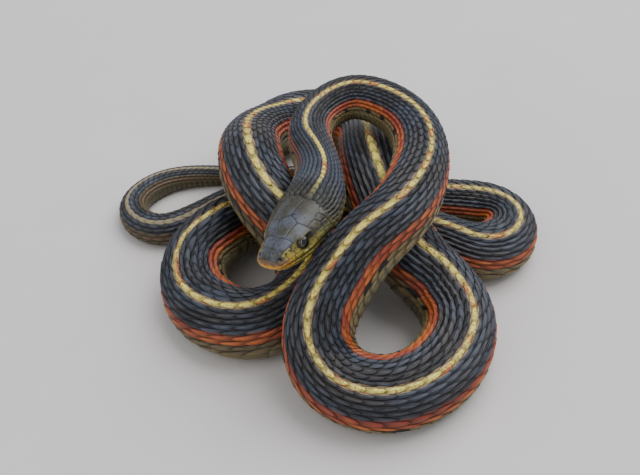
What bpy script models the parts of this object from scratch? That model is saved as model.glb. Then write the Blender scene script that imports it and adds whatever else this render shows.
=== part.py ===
"""A life-size garter snake at rest in a loose heap of loops, its body parted into named lengths.

Lengths are in millimetres until the meshes are written, which are in metres.
"""

import math

import bmesh
import bpy
import numpy as np

MM = 0.001
GAP = 0.3  # left between two solids that meet face to face

# The middle line from the snout to the tail's tip: x, y, and the belly's height above the floor.
ROUTE = {
    "head": [(-11.7, -41.3, 27.2), (-7.6, -34.5, 26.5), (-4.1, -27.7, 26.2), (-1.5, -22.9, 26.1)],
    "neck": [(-0.3, -15.3, 26.9), (-1.1, -6.2, 27.2), (-2.5, 3.8, 27.0)],
    "upper loop": [
        (1.0, 13.0, 27.5), (9.0, 16.8, 28.5), (19.5, 9.8, 28.5), (23.8, -5.0, 28.8),
        (22.0, -18.2, 28.5), (17.2, -27.9, 26.9), (10.3, -33.5, 22.5), (4.5, -39.0, 16.5),
    ],
    "front loop": [
        (0.4, -44.8, 10.9), (0.1, -49.8, 5.6), (3.9, -54.6, 1.6), (12.9, -57.6, 0.1), (22.9, -54.6, 0.0),
        (30.3, -45.7, 0.0), (32.2, -35.2, 0.2), (28.7, -27.2, 2.0), (22.9, -22.7, 6.0), (18.0, -16.5, 10.5),
    ],
    "under the upper loop": [
        (14.7, -8.0, 14.5), (13.3, 4.0, 14.2), (13.0, 14.0, 11.3), (13.0, 22.5, 7.5), (12.0, 33.0, 2.5),
    ],
    "back loop": [
        (7.5, 41.3, 0.3), (0.0, 44.4, 0.0), (-7.7, 42.3, 0.5), (-12.7, 35.3, 2.5), (-16.0, 25.5, 7.5),
        (-17.8, 14.0, 13.0), (-17.3, 3.0, 17.5), (-15.5, -6.0, 18.2), (-11.8, -12.2, 15.8),
    ],
    "under the head": [
        (-7.2, -15.8, 11.0), (-3.4, -20.0, 6.5), (-2.2, -25.0, 3.4), (-3.6, -29.8, 1.6), (-7.0, -33.6, 0.6),
    ],
    "left loop": [
        (-11.7, -36.0, 0.1), (-17.0, -37.0, 0.0), (-24.5, -34.0, 0.0), (-30.0, -25.8, 0.0),
        (-30.2, -17.5, 2.0), (-26.5, -11.5, 3.5), (-21.3, -5.0, 2.5),
    ],
    "near floor strand": [(-14.0, -2.2, 0.7), (-2.0, -2.8, 0.0), (13.0, -4.3, 0.0), (24.5, -5.8, 0.0)],
    "right loop": [
        (34.0, -10.2, 0.0), (40.8, -11.7, 0.0), (46.9, -8.2, 0.0), (48.7, -1.0, 0.0), (44.8, 5.0, 0.0),
        (36.0, 7.6, 0.0),
    ],
    "far floor strand": [
        (24.0, 9.0, 0.0), (12.0, 10.0, 0.0), (0.0, 11.0, 0.0), (-12.0, 11.5, 0.0), (-21.0, 9.8, 0.0),
    ],
    "tail": [
        (-28.4, 5.5, 0.0), (-34.2, 1.8, 0.0), (-40.6, -0.5, 0.0), (-46.5, 1.5, 0.0), (-50.0, 8.2, 0.0),
        (-46.9, 16.2, 0.0), (-39.0, 21.5, 0.0), (-28.0, 23.0, 0.0), (-17.0, 23.6, 0.0), (-6.0, 26.0, 0.0),
        (5.2, 32.3, 0.0),
    ],
}
HEAP_MIDDLE = (1.07, -6.88)  # of the finished outline, in the route's x and y
SETTLE = 0.3  # how far the weight presses the belly flat on the floor

# Half the body's width at distances from the snout.
HALF_WIDTHS = [
    (0, 5.0), (24, 6.7), (30, 5.8), (36, 5.4), (55, 5.4), (75, 6.0), (100, 6.7), (130, 7.7), (165, 8.4), (200, 8.7),
    (235, 8.6), (270, 8.2), (300, 8.1), (350, 8.2), (400, 8.3), (420, 8.4), (450, 8.1), (480, 7.8),
    (515, 7.5), (530, 7.4), (545, 6.9), (560, 6.4), (590, 5.8), (610, 5.2), (630, 4.5), (650, 3.8),
    (662, 3.5), (685, 2.7), (700, 1.9), (709, 1.2), (716, 0.5),
]
BACK_RISE = 0.93  # height of the back above the middle line, per half width
BELLY_DROP = 0.86  # depth of the belly below it

# Where the body is parted, as distances from the snout.
LENGTHS = {
    "neck": (25, 60),
    "torso_upper_loop_left": (60, 82),
    "torso_upper_loop_right": (82, 118),
    "torso_top_strand": (118, 150),
    "torso_front_loop_left": (150, 190),
    "torso_front_loop_right": (190, 235),
    "torso_middle_strand": (235, 285),
    "torso_back_loop_right": (285, 308),
    "torso_back_loop_left": (308, 342),
    "torso_left_strand": (342, 388),
    "torso_under_head": (388, 430),
    "torso_left_loop": (430, 472),
    "torso_near_floor_strand": (472, 520),
    "torso_right_loop": (520, 558),
    "tail_base": (558, 612),
    "tail_loop_near": (612, 636),
    "tail_loop_end": (636, 656),
    "tail_loop_far": (656, 682),
    "tail_tip": (682, 714.5),
}
RING_POINTS = 18
ROW_STEP = 4.4

# The head: distance from the snout, half width, crown above and chin below the line of the mouth, and that
# line's height above the middle line.
HEAD_LENGTH = 25.0
HEAD_SECTIONS = [
    (0.0, 0.0, 0.0, 0.0, -1.6),
    (0.25, 1.85, 1.0, 0.7, -1.6),
    (0.8, 2.8, 1.8, 1.2, -1.6),
    (1.6, 3.45, 2.5, 1.7, -1.6),
    (2.6, 3.9, 3.1, 2.1, -1.6),
    (3.8, 4.3, 3.7, 2.4, -1.65),
    (5.0, 4.65, 4.2, 2.7, -1.7),
    (6.2, 5.05, 4.65, 2.9, -1.75),
    (7.4, 5.45, 5.0, 3.1, -1.75),
    (8.6, 5.85, 5.2, 3.2, -1.7),
    (9.8, 6.25, 5.3, 3.35, -1.6),
    (11.2, 6.6, 5.35, 3.5, -1.45),
    (12.8, 6.9, 5.4, 3.7, -1.25),
    (14.4, 7.15, 5.4, 3.9, -1.0),
    (16.0, 7.3, 5.35, 4.2, -0.75),
    (17.6, 7.35, 5.3, 4.5, -0.5),
    (19.4, 7.25, 5.3, 4.7, -0.3),
    (21.2, 7.15, 5.4, 4.9, -0.15),
    (23.0, 6.85, 5.6, 5.1, 0.0),
    (25.0, 6.5, 5.7, 5.2, 0.0),
]
HEAD_ANGLES = (0, 14, 27, 39, 50, 60, 70, 79, 85.5, 90, 94.5, 102, 114, 128, 145, 163, 180)
NAPE = (19.0, 25.0)  # the head's form passes into the neck's between these
MOUTH_CORNER = 17.4
MOUTH_GROOVE = 0.45
LIP_SWELL = 0.28
OVERBITE = 0.8  # the snout reaches this far past the lower jaw
BROW_SWELL = 0.35
CROWN_TAPER = 0.22  # the flat top of the head is narrower than the lips by this share
# How far the lower jaw is set in under the upper lip, at distances from the snout.
JAW_INSETS = [(0, 0.0), (1.2, 0.4), (9, 0.4), (13, 0.9), (19, 0.8), (25, 0.0)]
# Degrees by which the head's left side is raised, and the neck's lowered, at distances from the snout.
HEAD_TURN = [(0, 11.3), (12, 10.5), (16, 6.0), (20, -2.0), (25, -11.0), (31, -13.0), (45, 0.0)]

EYE_RADIUS = 1.85
EYE_PLACE = (8.8, 3.85, 2.35)  # behind the snout, out from the middle, above the line of the mouth
NOSTRIL_RADIUS = 0.42
NOSTRIL_PLACE = (1.75, 3.0, 2.1)

SKIN_COLOUR = (0.055, 0.065, 0.085, 1.0)
HEAD_COLOUR = (0.20, 0.20, 0.21, 1.0)
EYE_COLOUR = (0.02, 0.015, 0.01, 1.0)


def clear_scene():
    for obj in list(bpy.data.objects):
        bpy.data.objects.remove(obj, do_unlink=True)


def material(name, colour, roughness):
    made = bpy.data.materials.new(name)
    made.use_nodes = True
    shader = made.node_tree.nodes["Principled BSDF"]
    shader.inputs["Base Color"].default_value = colour
    shader.inputs["Roughness"].default_value = roughness
    made.diffuse_color = colour
    return made


def smoothstep(low, high, value):
    t = np.clip((value - low) / (high - low), 0.0, 1.0)
    return t * t * (3 - 2 * t)


def half_width(distance):
    places, widths = zip(*HALF_WIDTHS)
    return np.interp(distance, places, widths)


def spline(knots, points, at):
    """A natural cubic spline through the points, read at the given places."""
    steps = np.diff(knots)
    size = len(knots)
    matrix = np.eye(size)
    bends = np.zeros((size, points.shape[1]))
    for i in range(1, size - 1):
        matrix[i, i - 1 : i + 2] = steps[i - 1], 2 * (steps[i - 1] + steps[i]), steps[i]
        slope_after = (points[i + 1] - points[i]) / steps[i]
        slope_before = (points[i] - points[i - 1]) / steps[i - 1]
        bends[i] = 6 * (slope_after - slope_before)
    bends = np.linalg.solve(matrix, bends)
    span = np.clip(np.searchsorted(knots, at, side="right") - 1, 0, size - 2)
    t = (at - knots[span])[:, None]
    step = steps[span][:, None]
    start, end = bends[span], bends[span + 1]
    slope = (points[span + 1] - points[span]) / step - step * (2 * start + end) / 6
    return points[span] + slope * t + start / 2 * t**2 + (end - start) / (6 * step) * t**3


def middle_line():
    """Distances from the snout, with the middle line's point and direction at each."""
    rows = np.array([row for stretch in ROUTE.values() for row in stretch])
    reached = np.linspace(0, HALF_WIDTHS[-1][0], len(rows))
    for _ in range(6):
        heights = rows[:, 2] + BELLY_DROP * half_width(reached) - SETTLE
        points = np.column_stack([rows[:, 0] - HEAP_MIDDLE[0], rows[:, 1] - HEAP_MIDDLE[1], heights])
        hops = np.linalg.norm(np.diff(points, axis=0), axis=1)
        knots = np.concatenate([[0], np.cumsum(np.sqrt(hops))])
        fine = np.linspace(0, knots[-1], 6000)
        line = spline(knots, points, fine)
        lengths = np.concatenate([[0], np.cumsum(np.linalg.norm(np.diff(line, axis=0), axis=1))])
        reached = np.interp(knots, fine, lengths)
    directions = np.gradient(line, axis=0)
    return lengths, line, directions / np.linalg.norm(directions, axis=1)[:, None]


LINE_LENGTHS, LINE_POINTS, LINE_DIRECTIONS = middle_line()


def frame(distance):
    """The middle line's point there, its direction to the tail, the snake's left, and up."""
    place, along = (
        np.array([np.interp(distance, LINE_LENGTHS, values[:, axis]) for axis in range(3)])
        for values in (LINE_POINTS, LINE_DIRECTIONS)
    )
    along /= np.linalg.norm(along)
    up = np.array([0.0, 0.0, 1.0]) - along * along[2]
    up /= np.linalg.norm(up)
    left = np.cross(along, up)
    turn = math.radians(np.interp(distance, *zip(*HEAD_TURN)))
    sine, cosine = math.sin(turn), math.cos(turn)
    return place, along, left * cosine + up * sine, up * cosine - left * sine


def body_profile(distance, angles):
    """Offsets to the left and up of points round the body, at angles from the middle of the back."""
    sine, cosine = np.sin(angles), np.cos(angles)
    side = np.sign(sine) * np.abs(sine) ** 0.9
    rise = np.where(cosine > 0, BACK_RISE * np.abs(cosine) ** 0.95, -BELLY_DROP * np.abs(cosine) ** 0.72)
    return half_width(distance) * side, half_width(distance) * rise


def bump(value, middle, spread):
    return np.exp(-(((value - middle) / spread) ** 2))


def head_profile(distance, angles):
    """The same round the head, whose mouth lies at 90 degrees, with the lips, their groove and the brow."""
    places, *columns = zip(*HEAD_SECTIONS)
    width, crown, chin, mouth = (np.interp(distance, places, column) for column in columns)
    sine, cosine = np.sin(angles), np.cos(angles)
    degrees = np.degrees(np.arccos(cosine))
    lips = 1 - smoothstep(MOUTH_CORNER - 2, MOUTH_CORNER, distance)
    lips *= smoothstep(0, 1.2, distance)
    width = width + lips * LIP_SWELL * (bump(degrees, 80, 9) + 0.7 * bump(degrees, 101, 9))
    width = width - lips * MOUTH_GROOVE * bump(degrees, 90, 3)
    width = width - np.interp(distance, *zip(*JAW_INSETS)) * smoothstep(90, 99, degrees)
    width = width + BROW_SWELL * bump(degrees, 47, 10) * bump(distance, 8.4, 2.6)
    square = 1 - smoothstep(14, 20, distance)
    level = np.abs(cosine) ** (0.8 - 0.1 * square)
    taper = 1 - square * CROWN_TAPER * np.where(cosine > 0, 1.0, 0.5) * level**2
    side = width * taper * np.sign(sine) * np.abs(sine) ** (0.82 - 0.1 * square)
    rise = np.where(cosine > 0, crown * level, -chin * level)
    return side, mouth + rise


def ring(distance, angles):
    """The skin's points round the body at one distance from the snout, flat where they meet the floor."""
    place, along, left, up = frame(distance)
    side, rise = body_profile(distance, angles)
    setback = 0.0
    if distance < NAPE[1]:
        neck_share = smoothstep(*NAPE, distance)
        head_side, head_rise = head_profile(distance, angles)
        side = head_side + (side - head_side) * neck_share
        rise = head_rise + (rise - head_rise) * neck_share
        below_mouth = np.cos(angles) < 0
        setback = OVERBITE * below_mouth * np.exp(-distance / 2.5)
    points = place + np.outer(side, left) + np.outer(rise, up) + np.outer(setback * np.ones_like(side), along)
    points[:, 2] = np.maximum(points[:, 2], 0.0)
    return points


def loft(name, rings, tip=None):
    """A closed mesh through the rings. A tip closes its start, and a middle point any flat end."""
    shape = bmesh.new()
    rows = [[shape.verts.new(point * MM) for point in points] for points in rings]
    count = len(rows[0])
    for near, far in zip(rows, rows[1:]):
        for i in range(count):
            j = (i + 1) % count
            shape.faces.new((near[i], near[j], far[j], far[i]))
    start = rings[0].mean(axis=0) if tip is None else tip
    for row, point in ((rows[0][::-1], start), (rows[-1], rings[-1].mean(axis=0))):
        middle = shape.verts.new(point * MM)
        for i in range(count):
            shape.faces.new((row[i], row[(i + 1) % count], middle))
    bmesh.ops.triangulate(shape, faces=shape.faces)
    bmesh.ops.recalc_face_normals(shape, faces=shape.faces)
    mesh = bpy.data.meshes.new(name)
    shape.to_mesh(mesh)
    shape.free()
    mesh.shade_smooth()
    return bpy.data.objects.new(name, mesh)


def body_length(name, start, end):
    angles = np.arange(RING_POINTS) * 2 * math.pi / RING_POINTS
    rows = math.ceil((end - start) / ROW_STEP) + 1
    distances = np.linspace(start + GAP / 2, end - GAP / 2, rows)
    return loft(name, [ring(distance, angles) for distance in distances])


def head():
    half = np.radians(HEAD_ANGLES)
    angles = np.concatenate([half, -half[-2:0:-1]])
    distances = [row[0] for row in HEAD_SECTIONS[1:-1]] + [HEAD_LENGTH - GAP / 2]
    place, _, _, up = frame(0.0)
    tip = place + up * HEAD_SECTIONS[0][4]
    return loft("head", [ring(distance, angles) for distance in distances], tip)


def on_head(place, side):
    """A point given by its distance behind the snout, out to one side, and above the line of the mouth."""
    behind, out, above = place
    middle, _, left, up = frame(behind)
    mouth = np.interp(behind, *zip(*[(row[0], row[4]) for row in HEAD_SECTIONS]))
    return middle + left * out * side + up * (mouth + above)


def ball(name, radius, place, segments, rings):
    mesh = bpy.data.meshes.new(name)
    shape = bmesh.new()
    bmesh.ops.create_uvsphere(shape, u_segments=segments, v_segments=rings, radius=radius * MM)
    shape.to_mesh(mesh)
    shape.free()
    mesh.shade_smooth()
    made = bpy.data.objects.new(name, mesh)
    made.location = place * MM
    return made


def cut(target, cutter, cutters):
    cutters.objects.link(cutter)
    cutter.hide_render = True
    cutter.display_type = "WIRE"
    boolean = target.modifiers.new(cutter.name, "BOOLEAN")
    boolean.object = cutter


def main():
    clear_scene()
    snake = bpy.data.collections.new("garter_snake")
    cutters = bpy.data.collections.new("cutters")
    for collection in (snake, cutters):
        bpy.context.scene.collection.children.link(collection)
    skin = material("skin", SKIN_COLOUR, 0.45)
    head_skin = material("head_skin", HEAD_COLOUR, 0.35)
    eye = material("eye", EYE_COLOUR, 0.08)

    skull = head()
    pieces = [(skull, head_skin)]
    for side, word in ((1, "left"), (-1, "right")):
        eye_place = on_head(EYE_PLACE, side)
        pieces.append((ball(f"eye_{word}", EYE_RADIUS, eye_place, 16, 10), eye))
        cut(skull, ball(f"socket_{word}", EYE_RADIUS + GAP, eye_place, 20, 12), cutters)
        cut(skull, ball(f"nostril_{word}", NOSTRIL_RADIUS, on_head(NOSTRIL_PLACE, side), 8, 6), cutters)
    for name, (start, end) in LENGTHS.items():
        pieces.append((body_length(name, start, end), skin))
    for piece, finish in pieces:
        piece.data.materials.append(finish)
        snake.objects.link(piece)


main()
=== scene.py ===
"""Looks of the life-size garter snake: skin, scales, eyes, floor, lights and camera.

The body is worked out in millimetres, and each mesh is written in metres.
"""

import math

import bpy
import numpy as np
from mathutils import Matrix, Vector
from mathutils.kdtree import KDTree

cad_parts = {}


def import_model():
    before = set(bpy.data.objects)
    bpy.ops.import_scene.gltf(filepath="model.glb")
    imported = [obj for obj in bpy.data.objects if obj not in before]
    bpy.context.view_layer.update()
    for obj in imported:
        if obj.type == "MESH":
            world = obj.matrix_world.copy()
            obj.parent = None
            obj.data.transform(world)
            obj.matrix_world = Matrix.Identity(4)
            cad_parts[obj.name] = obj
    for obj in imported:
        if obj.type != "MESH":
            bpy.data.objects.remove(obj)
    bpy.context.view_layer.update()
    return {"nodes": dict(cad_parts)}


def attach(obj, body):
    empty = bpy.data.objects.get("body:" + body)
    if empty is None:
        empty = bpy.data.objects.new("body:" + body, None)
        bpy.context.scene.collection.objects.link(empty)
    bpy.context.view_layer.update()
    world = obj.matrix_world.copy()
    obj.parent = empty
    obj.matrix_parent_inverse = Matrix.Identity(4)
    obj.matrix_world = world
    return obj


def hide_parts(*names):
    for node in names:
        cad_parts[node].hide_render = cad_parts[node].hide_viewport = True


MM = 0.001

# The middle line from the snout to the tail's tip: x, y, the belly's height above the floor,
# and how far the markings lean to the snake's left, in degrees.
ROUTE = {
    "head": [
        (-11.7, -41.3, 27.2, 0), (-7.6, -34.5, 26.5, 0), (-4.1, -27.7, 26.2, 0), (-1.5, -22.9, 26.1, 0),
    ],
    "neck": [(-0.3, -15.3, 26.9, 2), (-1.1, -6.2, 27.2, -1), (-2.5, 3.8, 27, -10)],
    "upper loop": [
        (1, 13, 27.5, -3), (9, 16.8, 28.5, 5), (19.5, 9.8, 28.5, -2), (23.8, -5, 28.8, -17),
        (22, -18.2, 28.5, -14), (17.2, -27.9, 26.9, -6), (10.3, -33.5, 22.5, -1), (4.5, -39, 16.5, 4),
    ],
    "front loop": [
        (0.4, -44.8, 10.9, 7), (0.1, -49.8, 5.6, 20), (3.9, -54.6, 1.6, 31), (12.9, -57.6, 0.1, 32),
        (22.9, -54.6, 0, 27), (30.3, -45.7, 0, 22), (32.2, -35.2, 0.2, 14), (28.7, -27.2, 2, 4),
        (22.9, -22.7, 6, -2), (18, -16.5, 10.5, -2),
    ],
    "under the upper loop": [
        (14.7, -8, 14.5, 0), (13.3, 4, 14.2, -4), (13, 14, 11.3, -5), (13, 22.5, 7.5, -6),
        (12, 33, 2.5, -8),
    ],
    "back loop": [
        (7.5, 41.3, 0.3, -9), (0, 44.4, 0, -9), (-7.7, 42.3, 0.5, -6), (-12.7, 35.3, 2.5, 1),
        (-16, 25.5, 7.5, 5), (-17.8, 14, 13, 5), (-17.3, 3, 17.5, 3), (-15.5, -6, 18.2, 3),
        (-11.8, -12.2, 15.8, 6),
    ],
    "under the head": [
        (-7.2, -15.8, 11, 6), (-3.4, -20, 6.5, 6), (-2.2, -25, 3.4, 10), (-3.6, -29.8, 1.6, 12),
        (-7, -33.6, 0.6, 10),
    ],
    "left loop": [
        (-11.7, -36, 0.1, 2), (-17, -37, 0, -6), (-24.5, -34, 0, -19), (-30, -25.8, 0, -28),
        (-30.2, -17.5, 2, -22), (-26.5, -11.5, 3.5, -11), (-21.3, -5, 2.5, -3),
    ],
    "near floor strand": [(-14, -2.2, 0.7, 0), (-2, -2.8, 0, 0), (13, -4.3, 0, 0), (24.5, -5.8, 0, 0)],
    "right loop": [
        (34, -10.2, 0, -2), (40.8, -11.7, 0, 10), (46.9, -8.2, 0, 18), (48.7, -1, 0, 14),
        (44.8, 5, 0, 3), (36, 7.6, 0, 0),
    ],
    "far floor strand": [
        (24, 9, 0, 0), (12, 10, 0, 0), (0, 11, 0, 0), (-12, 11.5, 0, 0), (-21, 9.8, 0, -3),
    ],
    "tail": [
        (-28.4, 5.5, 0, -5), (-34.2, 1.8, 0, -10), (-40.6, -0.5, 0, -16), (-46.5, 1.5, 0, -20),
        (-50, 8.2, 0, -22), (-46.9, 16.2, 0, -20), (-39, 21.5, 0, -12), (-28, 23, 0, -4),
        (-17, 23.6, 0, 0), (-6, 26, 0, 0), (5.2, 32.3, 0, 0),
    ],
}
HEAP_MIDDLE = (1.07, -6.88)  # of the finished outline, in the route's x and y
SETTLE = 0.3  # lowers the body, to press its belly flat on the floor
TAIL_END = 714.4
VENT = 558.0
LINE_STEPS = 6000
LINE_ROUNDS = 6  # of fitting heights to widths

# Half the body's width at distances from the snout.
HALF_WIDTHS = [
    (0, 5), (24, 6.7), (30, 5.8), (36, 5.4), (55, 5.4), (75, 6), (100, 6.7), (130, 7.7), (165, 8.4),
    (200, 8.7), (235, 8.6), (270, 8.2), (300, 8.1), (350, 8.2), (400, 8.3), (420, 8.4), (450, 8.1),
    (480, 7.8), (515, 7.5), (530, 7.4), (545, 6.9), (560, 6.4), (590, 5.8), (610, 5.2), (630, 4.5),
    (650, 3.8), (662, 3.5), (685, 2.7), (700, 1.9), (709, 1.2), (716, 0.5),
]
BACK_RISE = 0.93
BELLY_DROP = 0.86
# Powers that shape the body's section: 1 is round, less is squarer.
FLANK_POWER, BACK_POWER, BELLY_POWER = 0.9, 0.95, 0.72

# The head: distance from the snout, half width, crown above and chin below the mouth's line, and
# that line's height above the middle line.
HEAD_SECTIONS = [
    (0, 0, 0, 0, -1.6),
    (0.25, 1.85, 1, 0.7, -1.6),
    (0.8, 2.8, 1.8, 1.2, -1.6),
    (1.6, 3.45, 2.5, 1.7, -1.6),
    (2.6, 3.9, 3.1, 2.1, -1.6),
    (3.8, 4.3, 3.7, 2.4, -1.65),
    (5, 4.65, 4.2, 2.7, -1.7),
    (6.2, 5.05, 4.65, 2.9, -1.75),
    (7.4, 5.45, 5, 3.1, -1.75),
    (8.6, 5.85, 5.2, 3.2, -1.7),
    (9.8, 6.25, 5.3, 3.35, -1.6),
    (11.2, 6.6, 5.35, 3.5, -1.45),
    (12.8, 6.9, 5.4, 3.7, -1.25),
    (14.4, 7.15, 5.4, 3.9, -1),
    (16, 7.3, 5.35, 4.2, -0.75),
    (17.6, 7.35, 5.3, 4.5, -0.5),
    (19.4, 7.25, 5.3, 4.7, -0.3),
    (21.2, 7.15, 5.4, 4.9, -0.15),
    (23, 6.85, 5.6, 5.1, 0),
    (25, 6.5, 5.7, 5.2, 0),
]
NAPE = (19, 25)
LEAN_START = 34  # where the markings lean as far as the route says
MOUTH_CORNER = 17.4
MOUTH_GROOVE = 0.45
LIP_SWELL = 0.28
OVERBITE = 0.8  # of the upper jaw at the snout's tip
OVERBITE_FADE = 2.5
# How far the lower jaw is set in under the upper lip, at distances from the snout.
JAW_INSETS = [(0, 0), (1.2, 0.4), (9, 0.4), (13, 0.9), (19, 0.8), (25, 0)]
BROW_SWELL = 0.35
CROWN_TAPER = 0.22  # the flat top of the head is narrower than the lips by this share
# Degrees by which the left side is raised, at distances from the snout.
HEAD_TURN = [(0, 11.3), (12, 10.5), (16, 6), (20, -2), (25, -11), (31, -13), (45, 0)]
EYE_RADIUS = 1.85
EYE_PLACE = (8.5, 3.72, 2.05)  # behind the snout, out from the middle, above the line of the mouth
EYE_OPENING = 1.55  # half the clear eye's width between the lids' rims
BROW_HEIGHT = 0.85  # where the brow cuts the eye, above its middle
EYE_AIM = (-0.22, 0.9, 0.38)  # towards the tail, outward, up
CHEEK_LEVEL = 0.95  # how far out from the eye's middle the skin beside it lies
HOLLOW_LEVEL = 0.3  # the same for the hollow's floor, behind the ball
LID_GAP = 0.1  # between the ball and the lids over it
LID_EDGE = (1.75, 2.5)  # from the eye's axis, where lids run out into the cheek
BROW_LIFT = 0.3
NOSTRIL_PLACE = (1.75, 3.0, 2.1)  # measured as the eye's place
NOSTRIL_RADIUS = 0.62
NOSTRIL_DEPTH = 0.75

# The shields' seams, as distance behind the snout and degrees from the middle of the crown.
HEAD_SEAMS = {
    "snout shield": [(0.75, 0), (0.8, 30), (0.9, 52), (1.1, 76)],
    "snout's middle": [(0.8, 0), (5.6, 0)],
    "first pair": [(2.9, 0), (3, 20), (2.9, 42)],
    "nostril, upper": [(0.9, 52), (1.9, 46), (2.9, 42)],
    "nostril, rear": [(2.9, 42), (3.1, 60), (3.1, 76)],
    "second pair": [(5.6, 0), (5.9, 18), (6, 44)],
    "canthus": [(2.9, 42), (4.5, 45), (6, 46)],
    "before the eye": [(4.9, 46), (5, 60), (5, 76)],
    "forehead shield": [(5.9, 18), (8.2, 14), (10.6, 17), (12.2, 0)],
    "behind the brow": [(10.6, 17), (10.8, 32), (10.9, 46)],
    "crown's middle": [(12.2, 0), (17.6, 0)],
    "crown's edge": [(10.9, 46), (13.6, 47), (15.8, 42), (17.7, 26), (18.4, 10), (17.6, 0)],
    "behind the eye": [(10.9, 46), (11.4, 60), (11, 75)],
    "temple, upper": [(14.2, 62), (16.2, 60)],
    "temple, middle": [(13.6, 47), (14.2, 62), (14, 76)],
    "temple, rear": [(15.8, 42), (16.4, 60), (16.6, 79)],
    "upper lip": [(1.1, 76), (5, 76), (6.8, 77)],
    "upper lip, rear": [(9.8, 77), (11, 75), (14, 76), (16.6, 79), (17.4, 90)],
    "lower lip": [(1, 107), (5, 108), (11, 108), (17.4, 104)],
    "chin's front": [(1, 92), (1.3, 107), (1.9, 150), (1.9, 180)],
    "chin's groove": [(1.9, 180), (11.5, 180)],
    "chin shields": [(6.6, 125), (6.8, 150), (6.8, 180)],
    "chin, side": [(1.5, 120), (6.6, 125), (11, 128)],
    "chin, rear": [(11, 128), (11.4, 150), (11.5, 180)],
}
# Seams across the lips: where each stands, and its line from there.
LIP_SEAMS = [
    ((2.9, 4.6, 6.5, 8.4, 10.8, 13.6), [(0, 76), (0.1, 84), (0, 89)]),
    ((1.9, 3.1, 4.5, 6.1, 7.8, 9.6, 11.6, 13.8, 15.8), [(0, 91), (0.2, 100), (0.1, 107)]),
]
SEAM_WIDTH = 0.12
SEAM_DEPTH = 0.12
HEAD_RELIEF_END = 21

SNOUT_ROWS = (0.1, 2.0, 26)  # square roots of the first rows' distances, and their number
# Rows of the skin's grid behind them: from, to and spacing.
SKIN_ROWS = [(4.15, 21, 0.13), (21, 30, 0.5), (30, TAIL_END, 2.9)]
SKIN_COLUMNS = 224
EVEN_COLUMNS = (20, 34)  # where the columns turn from crowded to even
NORMAL_STEP = 0.2
# Where columns crowd: degrees from the middle of the crown, spread and how much denser.
CROWDED = [(0, 5, 1.5), (16, 8, 0.8), (60, 20, 0.7), (90, 9, 2.4)]

COAT_DEPTH = 0.4  # of the skin under the body's outline, where scales cover it
COAT_START = (16.4, 19.4)
BARE_TINT, BARE_GAP = 0.5, 0.9  # of the skin that shows between scales
# The rows of scales start here on the crown, further forward on the temple, further back on the jaw.
CROWN_ROW_START, TEMPLE_FORWARD, JAW_BACK = 16.9, 1.6, 1.8
BELLY_EDGE = 95.0  # degrees from the middle of the back to the belly plates
BELLY_OVERLAP = 3.0  # degrees by which they run in under the lowest scales
TRUNK_ROWS, TAIL_ROWS = 9, 5  # of scales on each side of the middle row
# The joined pieces of scales, by where each starts behind the snout.
COAT_STARTS = {
    "neck": 15, "upper_loop": 82, "front_loop": 150, "back_loop": 235, "left_strand": 340,
    "left_loop": 430, "right_loop": 520, "tail": VENT,
}
BELLY_START = 20.0
COAT_END = TAIL_END - 3
# Spacing of scales per half width of the body, at distances from the snout.
PITCH_SHARES = [(15, 0.2), (30, 0.25), (50, 0.32), (85, 0.42), (555, 0.42), (600, 0.52), (716, 0.52)]
SCALE_LENGTH = 1.72  # of the spacing
PLATE_LENGTH = 1.25
# Half a scale's width per row's spacing, in the middle row and in the others.
MIDDLE_SPREAD, SCALE_SPREAD = 0.72, 0.6
PLACE_SCATTER, WIDTH_SCATTER = 0.04, 0.12
SCALE_CELLS = (7, 8)  # along and across one scale
PLATE_CELLS = (3, 20)
ROW_BLEND = 0.45  # share of the markings' change that shows across one scale
SCALE_SEED = 11
PLATE_SEED = 12
# How far scales and plates are sunk at the root, and rise to the tip.
SCALE_SUNK, SCALE_RISE = 0.46, 0.38
PLATE_SUNK, PLATE_RISE = 0.32, 0.28
PLATE_THICKNESS = 0.14
SCALE_CROWN = 0.14
RIDGE_HEIGHT = 0.13
RIDGE_SHARE = 0.3  # of the scale's width

EYE_RINGS = 40
EYE_COLUMNS = 48

# The unwrap for baking: the skin's strip is folded in four bands.
BANDS = 4
BAND_LENGTH = 180.0
PATCH = 0.003  # how wide one scale is on it

CAMERA_REACH = 272  # from the camera to the middle of the view on the floor
CAMERA_ELEVATION = 43
FOCAL_PIXELS = 1027
PHOTO_WIDTH = 640
SENSOR = 36
FLOOR_HALF = 3000.0

# Each lamp's name, place, size, power and colour.
LAMPS = [
    ("window", (0.35, 0.3, 0.8), 0.9, 9.0, (0.95, 0.97, 1.0)),
    ("fill", (-0.6, -0.5, 0.7), 1.0, 2.6, (1.0, 0.98, 0.95)),
]
SKY_COLOUR = (0.80, 0.86, 0.95, 1)
SKY_STRENGTH = 0.55

# Where markings, the keels' painted highlight and the flank's painted shade start and end, as distances
# from the snout.
CROWN_END = (18, 21)
CROWN_END_ON_SCALES = (18, 27)
# Where the keels' painted highlight starts.
KEEL_HIGHLIGHT_START = (12, 70)
NAPE_END = (24, 50)
SIDE_START = (22, 60)
STRIPE_START = (20, 48)
# Painted shade on the lower flank along the left strand.
SHADED_FLANK = (300, 425)
SMUDGE = (6.9, 11.2)  # dark under and behind the eye
TAIL_START = (VENT - 20, VENT + 40)

# Markings round the body, in degrees from the middle of the back.
STRIPE_NAPE, STRIPE_TRUNK, STRIPE_TAIL = 2.2, 6.4, 10.9  # half the back stripe's width
FLECK_BAND = (0.7, 6.0)
TAIL_SIDE = (48, 51)
SIDE_BAND = (51.5, 74.5)
FLANK_EDGE = (74, 76)
SPOT_BAND = (75, 85)
BELLY_BLEND = (84, 98)

# The same round the head, whose mouth is at 90.
CHEEK_EDGE = (42, 49)
SMUDGE_BAND = (56, 72)
LIP_EDGE = (68, 74)
MOUTH_BAND = (88.6, 91.6)
CHIN_EDGE = (108, 122)

# Angles from the eye's axis.
PUPIL_EDGE = (31.5, 33)
IRIS_RING = (33.5, 37.5)
IRIS_EDGE = (48, 62)


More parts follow.
